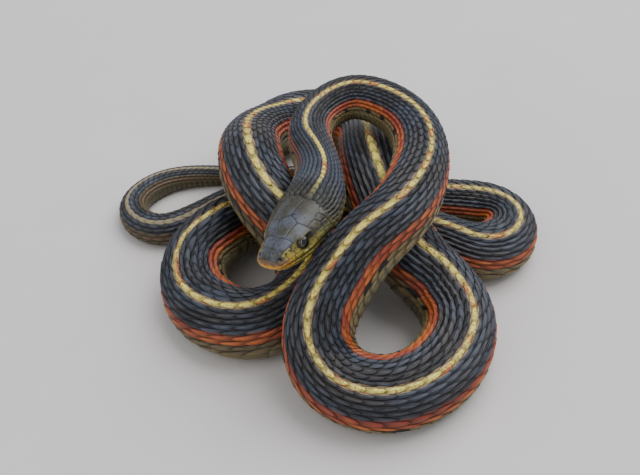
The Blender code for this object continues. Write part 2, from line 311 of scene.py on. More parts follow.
def rgb(red, green, blue):
    """A colour given as it looks on screen, from 0 to 255."""
    shares = (value / 255 for value in (red, green, blue))
    return (*(((c + 0.055) / 1.055) ** 2.4 if c > 0.04 else c / 12.92 for c in shares), 1.0)


CHARCOAL = rgb(65, 71, 85)
BLACK = rgb(12, 11, 12)
BROWN_BLACK = rgb(60, 52, 50)
# Painted highlight along the scales' keels.
KEEL_HIGHLIGHT = rgb(112, 116, 126)
NAPE_BLUE = rgb(66, 76, 92)
STRIPE_YELLOW = rgb(255, 238, 112)
STRIPE_EDGE = rgb(208, 168, 130)
# Painted shade on the yellow back stripe.
STRIPE_PAINTED_SHADE = rgb(176, 152, 74)
SPECK_BROWN = rgb(96, 72, 44)
SIDE_ORANGE = rgb(200, 106, 46)
# Partly the side stripe's own red, partly painted shade.
SIDE_RED_AND_SHADE = rgb(154, 64, 42)
FLECK_RED = rgb(200, 96, 52)
FLANK_OLIVE = rgb(140, 120, 78)
FLANK_BROWN = rgb(90, 72, 50)
BELLY_OLIVE = rgb(134, 130, 98)
TAIL_TAN = rgb(86, 78, 52)
TAIL_STRIPE = rgb(154, 138, 108)
CROWN_GREY = rgb(84, 88, 99)
CROWN_BROWN = rgb(66, 62, 48)
LIP_GOLD = rgb(214, 150, 30)
LIP_BROWN = rgb(120, 88, 54)
LIP_YELLOW = rgb(158, 140, 48)
JAW_GREEN = rgb(108, 108, 68)
JAW_OLIVE = rgb(70, 64, 42)
CHIN_CREAM = rgb(184, 176, 136)
SEAM_BROWN = rgb(30, 26, 23)
# The pupils, and the painted shade in nostrils and eye hollows.
PUPIL_AND_SHADE_BLACK = rgb(7, 6, 6)
IRIS_DARK = rgb(24, 20, 17)
IRIS_BROWN = rgb(60, 46, 30)
EYE_EDGE = rgb(18, 15, 12)
IRIS_PALE = rgb(196, 186, 142)
FLOOR_GREY = rgb(226, 219, 214)
FLOOR_PALE = rgb(233, 227, 222)


def smoothstep(low, high, value):
    t = np.clip((value - low) / (high - low), 0.0, 1.0)
    return t * t * (3 - 2 * t)


def bump(value, middle, spread):
    return np.exp(-(((value - middle) / spread) ** 2))


def unit(vectors):
    """The vectors at a length of one."""
    return vectors / np.maximum(np.linalg.norm(vectors, axis=-1, keepdims=True), 1e-6)


def spline(knots, points, at):
    """A natural cubic spline through the points, read at the given places."""
    steps = np.diff(knots)
    slopes = np.diff(points, axis=0) / steps[:, None]
    matrix = np.eye(len(knots))
    for i, (before, after) in enumerate(zip(steps, steps[1:]), 1):
        matrix[i, i - 1 : i + 2] = before, 2 * (before + after), after
    bends = np.zeros_like(points)
    bends[1:-1] = 6 * np.diff(slopes, axis=0)
    bends = np.linalg.solve(matrix, bends)
    span = np.clip(np.searchsorted(knots, at, side="right") - 1, 0, len(steps) - 1)
    t = (at - knots[span])[:, None]
    step = steps[span][:, None]
    start, end = bends[span], bends[span + 1]
    slope = slopes[span] - step * (2 * start + end) / 6
    return points[span] + slope * t + start / 2 * t**2 + (end - start) / (6 * step) * t**3


def half_width(distance):
    places, widths = zip(*HALF_WIDTHS)
    return np.interp(distance, places, widths)


def middle_line():
    """Distances from the snout, with the middle line's point, direction and lean at each."""
    rows = np.array([row for stretch in ROUTE.values() for row in stretch], float)
    reached = np.linspace(0, HALF_WIDTHS[-1][0], len(rows))
    for _ in range(LINE_ROUNDS):
        heights = rows[:, 2] + BELLY_DROP * half_width(reached) - SETTLE
        points = np.column_stack([rows[:, 0] - HEAP_MIDDLE[0], rows[:, 1] - HEAP_MIDDLE[1], heights])
        hops = np.linalg.norm(np.diff(points, axis=0), axis=1)
        knots = np.concatenate([[0], np.cumsum(np.sqrt(hops))])
        fine = np.linspace(0, knots[-1], LINE_STEPS)
        line = spline(knots, np.column_stack([points, rows[:, 3]]), fine)
        hops = np.linalg.norm(np.diff(line[:, :3], axis=0), axis=1)
        lengths = np.concatenate([[0], np.cumsum(hops)])
        reached = np.interp(knots, fine, lengths)
    return lengths, line[:, :3], unit(np.gradient(line[:, :3], axis=0)), line[:, 3]


LINE_LENGTHS, LINE_POINTS, LINE_DIRECTIONS, LINE_LEANS = middle_line()


def along_line(distance, values):
    """Points or directions of the middle line at distances from the snout."""
    return np.stack([np.interp(distance, LINE_LENGTHS, values[:, axis]) for axis in range(3)], axis=-1)


def frames(distance):
    """The middle line's points, its directions to the tail, the snake's left, and up."""
    places = along_line(distance, LINE_POINTS)
    along = unit(along_line(distance, LINE_DIRECTIONS))
    up = unit(np.array([0, 0, 1]) - along * along[..., 2:])
    left = np.cross(along, up)
    turn = np.radians(np.interp(distance, *zip(*HEAD_TURN)))[..., None]
    turned_left = left * np.cos(turn) + up * np.sin(turn)
    turned_up = up * np.cos(turn) - left * np.sin(turn)
    return places, along, turned_left, turned_up


def body_profile(distance, angles):
    """Offsets to the left and up of points round the body, at angles from the top."""
    sine, cosine = np.sin(angles), np.cos(angles)
    side = np.sign(sine) * np.abs(sine) ** FLANK_POWER
    back = BACK_RISE * np.abs(cosine) ** BACK_POWER
    belly = -BELLY_DROP * np.abs(cosine) ** BELLY_POWER
    return half_width(distance) * side, half_width(distance) * np.where(cosine > 0, back, belly)


def head_measures(distance):
    """The head's half width, crown, chin and mouth height at distances from the snout."""
    rows = np.array(HEAD_SECTIONS)
    return spline(np.sqrt(rows[:, 0]), rows[:, 1:], np.sqrt(np.clip(distance, 0, rows[-1, 0]))).T


def head_profile(distance, angles):
    """The same round the head, whose mouth lies at 90 degrees, with its lips, groove and brow."""
    width, crown, chin, mouth = head_measures(distance)
    sine, cosine = np.sin(angles), np.cos(angles)
    degrees = np.degrees(np.arccos(np.clip(cosine, -1, 1)))
    lips = 1 - smoothstep(MOUTH_CORNER - 2, MOUTH_CORNER, distance)
    lips = lips * smoothstep(0, 1.2, distance)
    width = width + lips * LIP_SWELL * (bump(degrees, 80, 9) + 0.7 * bump(degrees, 101, 9))
    width = width - lips * MOUTH_GROOVE * bump(degrees, 90, 2.4)
    inset = np.interp(distance, *zip(*JAW_INSETS))
    width = width - inset * smoothstep(90, 99, degrees)
    width = width + BROW_SWELL * bump(degrees, 47, 10) * bump(distance, 8.4, 2.6)
    square = 1 - smoothstep(14, 20, distance)
    level = np.abs(cosine) ** (0.8 - 0.1 * square)
    taper = 1 - square * CROWN_TAPER * np.where(cosine > 0, 1.0, 0.5) * level**2
    side = width * taper * np.sign(sine) * np.abs(sine) ** (0.82 - 0.1 * square)
    rise = np.where(cosine > 0, crown * level, -chin * level)
    return side, mouth + rise


def surface(distance, degrees, height=0.0):
    """Points at distances from the snout and angles from the middle of the back, raised by height."""
    arrays = np.broadcast_arrays(distance, degrees, height)
    shape = arrays[0].shape
    distance, degrees, height = (np.ravel(values).astype(float) for values in arrays)
    lean = np.interp(distance, LINE_LENGTHS, LINE_LEANS) * smoothstep(NAPE[0], LEAN_START, distance)
    angles = np.radians(degrees + lean)
    side, rise = body_profile(distance, angles)
    head = distance < NAPE[1]
    setback = np.zeros_like(side)
    if head.any():
        head_side, head_rise = head_profile(distance[head], angles[head])
        neck_share = smoothstep(*NAPE, distance[head])
        side[head] = head_side + (side[head] - head_side) * neck_share
        rise[head] = head_rise + (rise[head] - head_rise) * neck_share
        in_jaw = np.cos(angles[head]) < -0.02
        setback[head] = OVERBITE * in_jaw * np.exp(-distance[head] / OVERBITE_FADE)
    side = side + height * np.sin(angles)
    rise = rise + height * np.cos(angles)
    places, along, left, up = frames(distance)
    points = places + side[:, None] * left + rise[:, None] * up + setback[:, None] * along
    # The floor flattens the belly, and points under the outline stay a little above it.
    points[:, 2] = np.maximum(points[:, 2], np.clip(-height * 0.8, 0, None))
    return points.reshape(*shape, 3)


def on_head(place, side):
    """A point at a distance behind the snout, out to one side and above the line of the mouth."""
    behind, out, above = place
    middle, _, left, up = frames(np.array(behind))
    mouth = head_measures(np.array([behind]))[3][0]
    return middle + left * out * side + up * (mouth + above)


def eye_axis(side):
    _, along, left, up = frames(np.array(EYE_PLACE[0]))
    return unit(along * EYE_AIM[0] + left * EYE_AIM[1] * side + up * EYE_AIM[2])


def band_of(distance):
    """Which of the unwrap's bands a distance from the snout falls in."""
    return np.clip(np.floor(distance / BAND_LENGTH), 0, BANDS - 1)


def unwrap(distance, degrees):
    """Where a point of the skin lies on its own flat strip, folded in bands, for baking."""
    band = band_of(distance)
    u = (distance - band * BAND_LENGTH) / BAND_LENGTH
    v = (band + np.mod(degrees + 180, 360) / 360) / BANDS
    return u, v


def add_object(name, data):
    made = bpy.data.objects.new(name, data)
    bpy.context.scene.collection.objects.link(made)
    return made


def new_mesh(name, points, faces):
    """A smooth mesh object from points in millimetres and faces of equal size."""
    mesh = bpy.data.meshes.new(name)
    points = np.asarray(points).reshape(-1, 3) * MM
    faces = np.asarray(faces)
    corners = faces.shape[1]
    mesh.vertices.add(len(points))
    mesh.vertices.foreach_set("co", points.ravel())
    mesh.loops.add(faces.size)
    mesh.loops.foreach_set("vertex_index", faces.ravel())
    mesh.polygons.add(len(faces))
    mesh.polygons.foreach_set("loop_start", np.arange(len(faces)) * corners)
    mesh.update(calc_edges=True)
    mesh.validate()
    mesh.shade_smooth()
    return add_object(name, mesh)


def give_number(obj, name, values):
    layer = obj.data.attributes.new(name, "FLOAT", "POINT")
    layer.data.foreach_set("value", np.ravel(values).astype(np.float32))


def give_unwrap(obj, u, v):
    """The bake map, from values for each face corner."""
    layer = obj.data.uv_layers.new(name="OFBake")
    layer.data.foreach_set("uv", np.stack([np.ravel(u), np.ravel(v)], axis=1).ravel().astype(np.float32))


def give_markings(obj, along, degrees, tint, keel, gap):
    """What the finish reads: place on the body, and each scale's tint, keel, and dark rim with painted
    shade at its root.
    """
    degrees = np.mod(np.asarray(degrees) + 180, 360) - 180
    places = {"along": along, "across": np.abs(degrees), "flank": np.sign(degrees)}
    for name, values in {**places, "tint": tint, "keel": keel, "gap": gap}.items():
        give_number(obj, name, values)
    points = np.empty(len(obj.data.vertices) * 3)
    obj.data.vertices.foreach_get("co", points)
    middle, _, _, up = frames(np.ravel(along))
    above_middle = ((points.reshape(-1, 3) / MM - middle) * up).sum(axis=1)
    give_number(obj, "rise", above_middle - head_measures(np.ravel(along))[3])


def grid_faces(rows, columns):
    """Quads of a grid of points, row by row, which closes on itself across."""
    row, column = np.meshgrid(np.arange(rows - 1), np.arange(columns), indexing="ij")
    right = (column + 1) % columns
    here, below = row * columns, (row + 1) * columns
    corners = (here + column, here + right, below + right, below + column)
    return np.stack(corners, axis=-1).reshape(-1, 4)


def tube_triangles(rows, columns):
    """Triangles of such a grid whose ends close on two points, which follow the grid's own."""
    quads = grid_faces(rows, columns)
    around = np.arange(columns)
    after = (around + 1) % columns
    last = (rows - 1) * columns
    first_cap = np.stack([np.full(columns, rows * columns), after, around], axis=1)
    last_cap = np.stack([np.full(columns, rows * columns + 1), last + around, last + after], axis=1)
    return np.concatenate([quads[:, [0, 1, 2]], quads[:, [0, 2, 3]], first_cap, last_cap])


def seam_tree():
    """Points along every seam between the head's shields, on both sides."""
    lines = list(HEAD_SEAMS.values())
    for places, seam in LIP_SEAMS:
        lines += [[(place + behind, angle) for behind, angle in seam] for place in places]
    found = []
    for line in lines:
        places, angles = np.array(line, float).T
        steps = np.linspace(0, len(line) - 1, 60 * (len(line) - 1))
        at = np.interp(steps, range(len(line)), places)
        degrees = np.interp(steps, range(len(line)), angles)
        found += [surface(at, degrees * side) for side in (1, -1)]
    points = np.concatenate(found)
    tree = KDTree(len(points))
    for i, point in enumerate(points):
        tree.insert(Vector(point), i)
    tree.balance()
    return tree


def sink_seams(points, normals, distance):
    """Sinks the shields' seams into the head. Returns how far in a seam each point is too."""
    seams = np.zeros(len(points))
    tree = seam_tree()
    for i in np.flatnonzero(distance < HEAD_RELIEF_END):
        gap = tree.find(Vector(points[i]))[2]
        seams[i] = math.exp(-((gap / SEAM_WIDTH) ** 2))
    return points - normals * (seams * SEAM_DEPTH)[:, None], seams


def sink_nostril(points, normals, side):
    """Sinks one nostril. Returns the painted shade in it too."""
    gap = np.linalg.norm(points - on_head(NOSTRIL_PLACE, side), axis=1)
    pit = np.clip(1 - (gap / NOSTRIL_RADIUS) ** 2, 0, 1)
    return points - normals * (pit * NOSTRIL_DEPTH)[:, None], smoothstep(0, 0.35, pit)


def shape_lids(points, side):
    """Opens one eye's hollow, with lids and brow. Returns the painted shade in it and along the lower
    rim too.
    """
    centre, axis = on_head(EYE_PLACE, side), eye_axis(side)
    _, along, _, up = frames(np.array(EYE_PLACE[0]))
    offset = points - centre
    depth = offset @ axis
    flat = offset - depth[:, None] * axis
    radial = np.linalg.norm(flat, axis=1)
    height = flat @ up
    near = (depth > -1.5) & (radial < 3)
    reach = np.maximum(radial, height + EYE_OPENING - BROW_HEIGHT)
    opening = 1 - smoothstep(EYE_OPENING - 0.12, EYE_OPENING + 0.08, reach)
    ball = np.sqrt(np.clip(EYE_RADIUS**2 - radial**2, 0, None))
    over_brow = smoothstep(BROW_HEIGHT - 0.3, BROW_HEIGHT + 0.3, height)
    cheek = CHEEK_LEVEL + (np.maximum(depth, CHEEK_LEVEL) - CHEEK_LEVEL) * over_brow
    lid = np.maximum(ball + LID_GAP, cheek) * (1 - opening) + HOLLOW_LEVEL * opening
    share = (1 - smoothstep(*LID_EDGE, radial)) * near
    points = points + axis * (share * (lid - depth))[:, None]
    brow = bump(height, BROW_HEIGHT + 0.4, 0.42) * bump(flat @ along, 0.0, 2.1) * near
    points = points + axis * (brow * BROW_LIFT)[:, None]
    # Painted shade along the lower rim of the eye's opening.
    rim = bump(radial, EYE_OPENING, 0.16) * (height < BROW_HEIGHT)
    return points, np.maximum(opening, rim) * near


def head_relief(points, normals, distance):
    """The skin's points with the head's seams, nostrils and eye hollows, the seams' mask, and the
    painted shade in nostrils and hollows.
    """
    points, seams = sink_seams(points, normals, distance)
    dark = np.zeros(len(points))
    for side in (1, -1):
        points, nostril = sink_nostril(points, normals, side)
        points, hollow = shape_lids(points, side)
        dark = np.maximum.reduce([dark, nostril, hollow])
    return points, seams, dark


def skin_columns(distance):
    """Angles round the skin: even on the body, and crowded at the head's seams, eyes and mouth."""
    fine = np.linspace(0, 180, 721)
    density = 1 + sum(more * bump(fine, angle, spread) for angle, spread, more in CROWDED)
    share = np.concatenate([[0], np.cumsum((density[1:] + density[:-1]) / 2)])
    half = SKIN_COLUMNS // 2
    head_half = np.interp(np.linspace(0, share[-1], half + 1), share, fine)
    body_half = np.linspace(0, 180, half + 1)
    blend = smoothstep(*EVEN_COLUMNS, distance)[:, None]
    angles = head_half * (1 - blend) + body_half * blend
    return np.concatenate([angles, -angles[:, -2:0:-1]], axis=1)


def skin_unwrap(along, degrees, triangles):
    """The skin's own bake map for its triangles' corners, with every triangle inside one band."""
    corner_along, corner_degrees = along[triangles], degrees[triangles]
    over_the_edge = np.ptp(corner_degrees, axis=1) > 180
    turned = over_the_edge[:, None] & (corner_degrees < 0)
    corner_degrees = np.where(turned, corner_degrees + 359.9, corner_degrees)
    band = band_of(corner_along.mean(axis=1))[:, None]
    u = np.clip((corner_along - band * BAND_LENGTH) / BAND_LENGTH, 0, 1)
    v = (band + np.clip((corner_degrees + 180) / 360, 0, 1)) / BANDS
    return u, v


def skin():
    """One closed skin from the snout to the tail's tip, with the head's shields sunk into it."""
    snout = np.linspace(*SNOUT_ROWS) ** 2
    distance = np.concatenate([snout, *(np.arange(*rows) for rows in SKIN_ROWS), [TAIL_END]])
    degrees = skin_columns(distance)
    rows, columns = degrees.shape
    along = np.repeat(distance[:, None], columns, axis=1)
    depth = COAT_DEPTH * smoothstep(*COAT_START, along) * np.clip(half_width(along) / 6, 0.2, 1)
    points = surface(along, degrees, -depth).reshape(-1, 3)
    raised = surface(along, degrees, -depth + NORMAL_STEP).reshape(-1, 3)
    points, seams, dark = head_relief(points, unit(raised - points), along.ravel())
    snout_tip = on_head((0.0, 0.0, 0.0), 1)
    tail_tip = surface(TAIL_END + 0.3, 0, -half_width(TAIL_END))
    triangles = tube_triangles(rows, columns)
    made = new_mesh("skin", np.concatenate([points, [snout_tip, tail_tip]]), triangles)
    along = np.append(along, [0, TAIL_END])
    degrees = np.append(degrees, [0, 0])
    flat = np.zeros(len(along))
    give_markings(made, along, degrees, tint=flat + BARE_TINT, keel=flat, gap=flat + BARE_GAP)
    give_number(made, "seam", np.append(seams, [0, 0]))
    # Painted shade in the nostrils and eye hollows.
    give_number(made, "dark", np.append(dark, [0, 0]))
    give_unwrap(made, *skin_unwrap(along, degrees, triangles))
    return made


def pitch(distance):
    """Spacing of the scales along the body."""
    return np.interp(distance, *zip(*PITCH_SHARES)) * half_width(distance)


def scale_spacing():
    """Distances from the snout and how many scales lie before each, along one row."""
    step = 0.5
    distance = np.arange(COAT_STARTS["neck"], TAIL_END, step)
    return distance, np.concatenate([[0], np.cumsum(step / pitch(distance[:-1]))])


def row_start(degrees):
    """Where a row of scales starts behind the head's shields."""
    from_crown = abs(degrees)
    temple, jaw = smoothstep(20, 60, from_crown), smoothstep(80, 95, from_crown)
    return CROWN_ROW_START - TEMPLE_FORWARD * temple + JAW_BACK * jaw


def plate_gap_and_shade(u, v, row, stretch):
    """How dark each point of a plate is: painted shade at its root, a dark rim, and less where low
    plates lie packed.
    """
    rim = np.maximum(0.9 * smoothstep(0.55, 0.95, np.abs(v)), 0.85 * smoothstep(0.88, 1.0, u))
    root_end = 0.62 + 0.16 * bump(row, 65, 9)
    # Painted shade at the root, just behind the tip of the plate before; round 65 degrees it reaches
    # further, for the black wedges there.
    gap = np.maximum(1 - smoothstep(0.28, root_end, u), rim)
    packed = 1 - smoothstep(0.6, 1.4, stretch)
    return gap * (1 - 0.65 * packed * smoothstep(45, 55, row))


def plate_angles(degrees, turned):
    """The angles that a plate's markings follow, which off the back stripe change less across it."""
    share = 1 - (1 - ROW_BLEND) * smoothstep(12, 18, np.abs(degrees))
    return degrees + (turned - degrees) * share


def plate_patch(root, degrees, u, v):
    """A plate's small patch of the bake map, at its root's place on the skin's own unwrap."""
    root_u, root_v = unwrap(root, degrees)
    return np.clip(root_u + PATCH * (u - 0.5), 0, 1), np.clip(root_v + PATCH * v / 2, 0, 1)


def each_point(values, shape):
    """Values for the top of every plate, and after them for the two edges of its underside."""
    values = np.broadcast_to(values, shape)
    count = len(values)
    return np.concatenate([values.reshape(count, -1), values[..., [0, -1]].reshape(count, -1)], axis=1)


def plates(name, layout, cells, shape):
    """Many overlapping plates as one mesh.

    layout has where each starts, its angle, its length, half its width in degrees, and its tint.
    shape gives, for places from root to tip and from edge to edge, the outline, top, thickness and keel.
    """
    steps, across = cells
    u = np.linspace(0, 1, steps + 1)[:, None]
    v = np.linspace(-1, 1, across + 1)[None, :]
    v = v * np.abs(v) ** 0.45  # closer together in the middle, where a scale has its ridge
    outline, top, thickness, keel = shape(u, v)
    root, degrees, length, spread, tint = (values[:, None, None] for values in layout)
    size = np.clip(half_width(root) / 8, 0.08, 1.1) ** 0.8
    turned = degrees + spread * v * outline
    along = np.broadcast_to(root + length * u, turned.shape)
    upper = surface(along, turned, top * size)
    edges = [0, across]
    lower = surface(along[..., edges], turned[..., edges], (top - thickness)[:, edges] * size)
    count = len(root)
    points = np.concatenate([upper.reshape(count, -1, 3), lower.reshape(count, -1, 3)], axis=1)
    first_points = np.arange(count)[:, None, None] * points.shape[1]
    faces = (plate_faces(steps, across) + first_points).reshape(-1, 3)
    made = new_mesh(name, points, faces)
    middle = upper[:, :, across // 2]
    stretch = np.linalg.norm(middle[:, -1] - middle[:, 0], axis=1)[:, None, None] / length
    gap = plate_gap_and_shade(u, v, np.abs(degrees), stretch)
    numbers = (along, plate_angles(degrees, turned), tint, keel, gap)
    give_markings(made, *(each_point(values, turned.shape) for values in numbers))
    patch = plate_patch(root, degrees, u, v)
    give_unwrap(made, *(each_point(values, turned.shape).ravel()[faces] for values in patch))
    return made


def plate_faces(steps, across):
    """Triangles of one closed plate: a fine top, and an underside straight from edge to edge."""
    row = np.arange(steps + 1)[:, None]
    top = row * (across + 1) + np.arange(across + 1)
    underside = (steps + 1) * (across + 1) + 2 * row + [1, 0]
    rings = np.hstack([top, underside])
    quads = rings.ravel()[grid_faces(steps + 1, across + 3)]
    root, tip = rings[0], rings[-1]
    fans = [(root[-1], root[i + 1], root[i]) for i in range(across + 1)]
    fans += [(tip[-1], tip[i], tip[i + 1]) for i in range(across + 1)]
    return np.concatenate([quads[:, [0, 1, 3]], quads[:, [1, 2, 3]], fans])


def back_scale(u, v):
    """A keeled scale: lance-shaped, sunk at its root, with a ridge down its middle."""
    outline = np.minimum(0.6 + 1.6 * u, 1) * np.clip(1 - 0.985 * u**2.6, 0, 1) ** 0.6
    lift = -SCALE_SUNK + SCALE_RISE * u**0.9
    crown = SCALE_CROWN * (1 - np.abs(v) ** 2.2)
    across_ridge = np.clip(1 - np.abs(v) / RIDGE_SHARE, 0, 1)
    ridge = across_ridge * smoothstep(0, 0.15, u) * (1 - 0.4 * smoothstep(0.8, 1, u))
    thickness = 0.10 + 0.05 * (1 - v**2) * np.ones_like(u)
    return outline, lift + crown + RIDGE_HEIGHT * ridge, thickness, ridge


def belly_plate(u, v):
    """A broad smooth plate across the belly, its free edge towards the tail."""
    flat = np.ones_like(u * v)
    top = (-PLATE_SUNK + PLATE_RISE * u) * flat
    return flat * (0.95 + 0.05 * u), top, PLATE_THICKNESS * flat, 0 * flat


def scale_roots(start, end, side_rows, row_degrees):
    """Distances and angles of the scales' roots in one stretch, every second row half a scale on."""
    distance, counts = scale_spacing()
    first, last = np.interp([start, end], distance, counts)
    root, degrees = [], []
    for row in range(-side_rows, side_rows + 1):
        places = np.arange(math.ceil(first), math.floor(last) + 1) + 0.5 * (row % 2)
        places = np.interp(places, counts, distance)
        places = places[(places > row_start(row * row_degrees)) & (places < COAT_END)]
        root.append(places)
        degrees.append(np.full(len(places), row * row_degrees))
    return np.concatenate(root), np.concatenate(degrees)


def scales():
    """Every keeled scale of the back and flanks, in one joined mesh for each stretch of the body."""
    made = []
    draw = np.random.default_rng(SCALE_SEED)
    ends = [*COAT_STARTS.values(), TAIL_END][1:]
    for (name, start), end in zip(COAT_STARTS.items(), ends):
        side_rows = TRUNK_ROWS if start < VENT else TAIL_ROWS
        row_degrees = BELLY_EDGE / (side_rows + 0.5)
        root, degrees = scale_roots(start, end, side_rows, row_degrees)
        root = root + draw.normal(0, PLACE_SCATTER, len(root)) * half_width(root) / 8
        length = np.minimum(pitch(root) * SCALE_LENGTH, TAIL_END - root)
        spread = np.where(np.abs(degrees) < 1, MIDDLE_SPREAD, SCALE_SPREAD) * row_degrees
        spread = spread * (1 + draw.uniform(-WIDTH_SCATTER, WIDTH_SCATTER, len(root)))
        layout = (root, degrees, length, spread, draw.random(len(root)))
        made.append(plates(f"scales_{name}", layout, SCALE_CELLS, back_scale))
    return made


def belly_plates():
    """One plate across the belly for each row of scales, in pairs under the tail."""
    distance, counts = scale_spacing()
    first = math.ceil(np.interp(BELLY_START, distance, counts))
    places = np.interp(np.arange(first, counts[-1] - 1), counts, distance)
    trunk, tail = places[places < VENT], places[(places > VENT) & (places < COAT_END)]
    draw = np.random.default_rng(PLATE_SEED)
    made = []
    half = 180 - BELLY_EDGE + BELLY_OVERLAP
    for name, root, middle, spread in (
        ("belly_plates", trunk, 180, half),
        ("tail_plates_left", tail, 180 - half / 2, half / 2),
        ("tail_plates_right", tail, 180 + half / 2, half / 2),
    ):
        degrees, spreads = np.full(len(root), float(middle)), np.full(len(root), spread)
        layout = (root, degrees, pitch(root) * PLATE_LENGTH, spreads, draw.random(len(root)))
        made.append(plates(name, layout, PLATE_CELLS, belly_plate))
    return made


def eyeball(name, side):
    """One clear round eye, with what the finish reads to place pupil and iris."""
    axis = eye_axis(side)
    one = unit(np.cross(axis, [0, 0, 1]))
    two = np.cross(axis, one)
    turns = np.linspace(0.02, math.pi - 0.02, EYE_RINGS)
    spins = np.arange(EYE_COLUMNS) * 2 * math.pi / EYE_COLUMNS
    turn, spin = np.meshgrid(turns, spins, indexing="ij")
    turn, spin = np.append(turn, [0, math.pi]), np.append(spin, [0, 0])
    ahead, round_one, round_two = np.cos(turn), np.sin(turn) * np.cos(spin), np.sin(turn) * np.sin(spin)
    outward = np.stack([ahead, round_one, round_two], axis=1) @ np.array([axis, one, two])
    triangles = tube_triangles(EYE_RINGS, EYE_COLUMNS)[:, [0, 2, 1]]
    ball = new_mesh(name, on_head(EYE_PLACE, side) + EYE_RADIUS * outward, triangles)
    give_number(ball, "off_axis", np.degrees(turn))
    give_number(ball, "spin", spin)
    _, along, _, up = frames(np.array(EYE_PLACE[0]))
    give_number(ball, "upper_front", outward @ (up * 0.96 - along * 0.28))
    reach = turn / math.pi / 2
    u, v = 0.5 + reach * np.cos(spin), 0.5 + reach * np.sin(spin)
    give_unwrap(ball, u[triangles], v[triangles])
    return ball


class Socket:
    """What a node gives out, with arithmetic on its numbers that adds Math nodes."""

    def __init__(self, finish, socket):
        self.finish = finish
        self.socket = socket

    def _math(self, operation, first, second):
        return self.finish.node("ShaderNodeMath", {"operation": operation}, {0: first, 1: second})

    def __add__(self, other):
        return self._math("ADD", self, other)

    __radd__ = __add__

    def __sub__(self, other):
        return self._math("SUBTRACT", self, other)

    def __rsub__(self, other):
        return self._math("SUBTRACT", other, self)

    def __mul__(self, other):
        return self._math("MULTIPLY", self, other)

    __rmul__ = __mul__

    def larger(self, other):
        return self._math("MAXIMUM", self, other)

    def ramp(self, low, high):
        """0 below low, 1 above high, and smooth between."""
        values = {"Value": self, "From Min": low, "From Max": high}
        return self.finish.node("ShaderNodeMapRange", {"interpolation_type": "SMOOTHSTEP"}, values)

    def band(self, low, high, soft):
        """1 between low and high, with soft edges."""
        return self.ramp(low - soft, low + soft) * (1 - self.ramp(high - soft, high + soft))


class Finish:
    """A named material and its nodes."""

    def __init__(self, name):
        self.material = bpy.data.materials.new(name)
        self.material.use_nodes = True
        self.tree = self.material.node_tree
        self.shader = self.tree.nodes["Principled BSDF"]

    def put(self, target, value):
        if isinstance(value, Socket):
            self.tree.links.new(value.socket, target)
        else:
            target.default_value = value

    def node(self, kind, settings=None, values=None, out=0):
        made = self.tree.nodes.new(kind)
        for key, value in (settings or {}).items():
            setattr(made, key, value)
        for key, value in (values or {}).items():
            self.put(made.inputs[key], value)
        return Socket(self, made.outputs[out])

    def number(self, name):
        """One of the numbers that the mesh carries."""
        return self.node("ShaderNodeAttribute", {"attribute_name": name}, out="Fac")

    def noise(self, place, scale, detail):
        return self.node("ShaderNodeTexNoise", None, {"Vector": place, "Scale": scale, "Detail": detail})

    def drift(self, x, y, z, detail):
        """Noise over three numbers."""
        return self.noise(self.node("ShaderNodeCombineXYZ", None, {"X": x, "Y": y, "Z": z}), 1.0, detail)

    def grain(self, scale, detail):
        """Even noise in space, with so many grains to a metre."""
        return self.noise(self.node("ShaderNodeTexCoord", out="Object"), scale, detail)

    def bump(self, height, strength, distance):
        values = {"Strength": strength, "Distance": distance, "Height": height}
        return self.node("ShaderNodeBump", None, values)

    def set(self, **values):
        for key, value in values.items():
            self.put(self.shader.inputs[key.replace("_", " ")], value)
        return self.material


def mix(share, first, second):
    """Two colours, with the second one's share."""
    colours = {0: share, 6: first, 7: second}
    return share.finish.node("ShaderNodeMix", {"data_type": "RGBA"}, colours, out=2)


class Markings:
    """What skin and scales take their colours from: place, each scale's own numbers, and noise."""

    def __init__(self, finish):
        self.along, self.across = finish.number("along"), finish.number("across")
        self.tint, self.keel = finish.number("tint"), finish.number("keel")
        along, across, flank = self.along, self.across, finish.number("flank")
        cells = finish.drift(along * 0.45, across * 0.10, flank * 7, 2)
        self.streaks = finish.drift(along * 0.7, across * 0.9, flank * 5, 3)
        self.slow = finish.drift(along * 0.06, across * 0.03, flank * 3, 1)
        self.patches = finish.drift(along * 0.24, across * 0.07, flank * 9 + 3, 1)
        self.fine, self.specks = finish.grain(2200, 3), finish.grain(1500, 2)
        self.tail = along.ramp(*TAIL_START)
        waver = (self.streaks - 0.5) * 4
        self.ragged = across + (cells - 0.5) * 4 + waver + (self.tint - 0.5) * 2
        edge = STRIPE_NAPE + along.ramp(*STRIPE_START) * (STRIPE_TRUNK - STRIPE_NAPE)
        edge = edge + self.tail * (STRIPE_TAIL - STRIPE_TRUNK)
        self.striped = 1 - (across + (cells - 0.5) * 3 + waver - edge).ramp(-0.8, 1.2)
        on_stripe = self.striped * (0.2 + self.tail * 0.35)
        self.gap = finish.number("gap") * (0.88 - on_stripe - self.ragged.ramp(50, 54) * 0.14)


def dark_back(marks):
    """Charcoal to brown-black scales, with a painted highlight along their keels, and bluer on the nape.
    """
    ground = mix(marks.slow.ramp(0.42, 0.62), CHARCOAL, BROWN_BLACK)
    shade = marks.tint * 0.4 + marks.streaks * 0.7 + marks.fine * 0.3
    dark = mix(shade.ramp(0.35, 0.95), BLACK, ground)
    # Painted highlight along the keels, in streaks.
    keel_highlight = marks.keel * marks.streaks.ramp(0.3, 0.7) * marks.along.ramp(*KEEL_HIGHLIGHT_START)
    dark = mix(keel_highlight * 0.5, dark, KEEL_HIGHLIGHT)
    return mix((1 - marks.along.ramp(*NAPE_END)) * 0.6, dark, NAPE_BLUE)


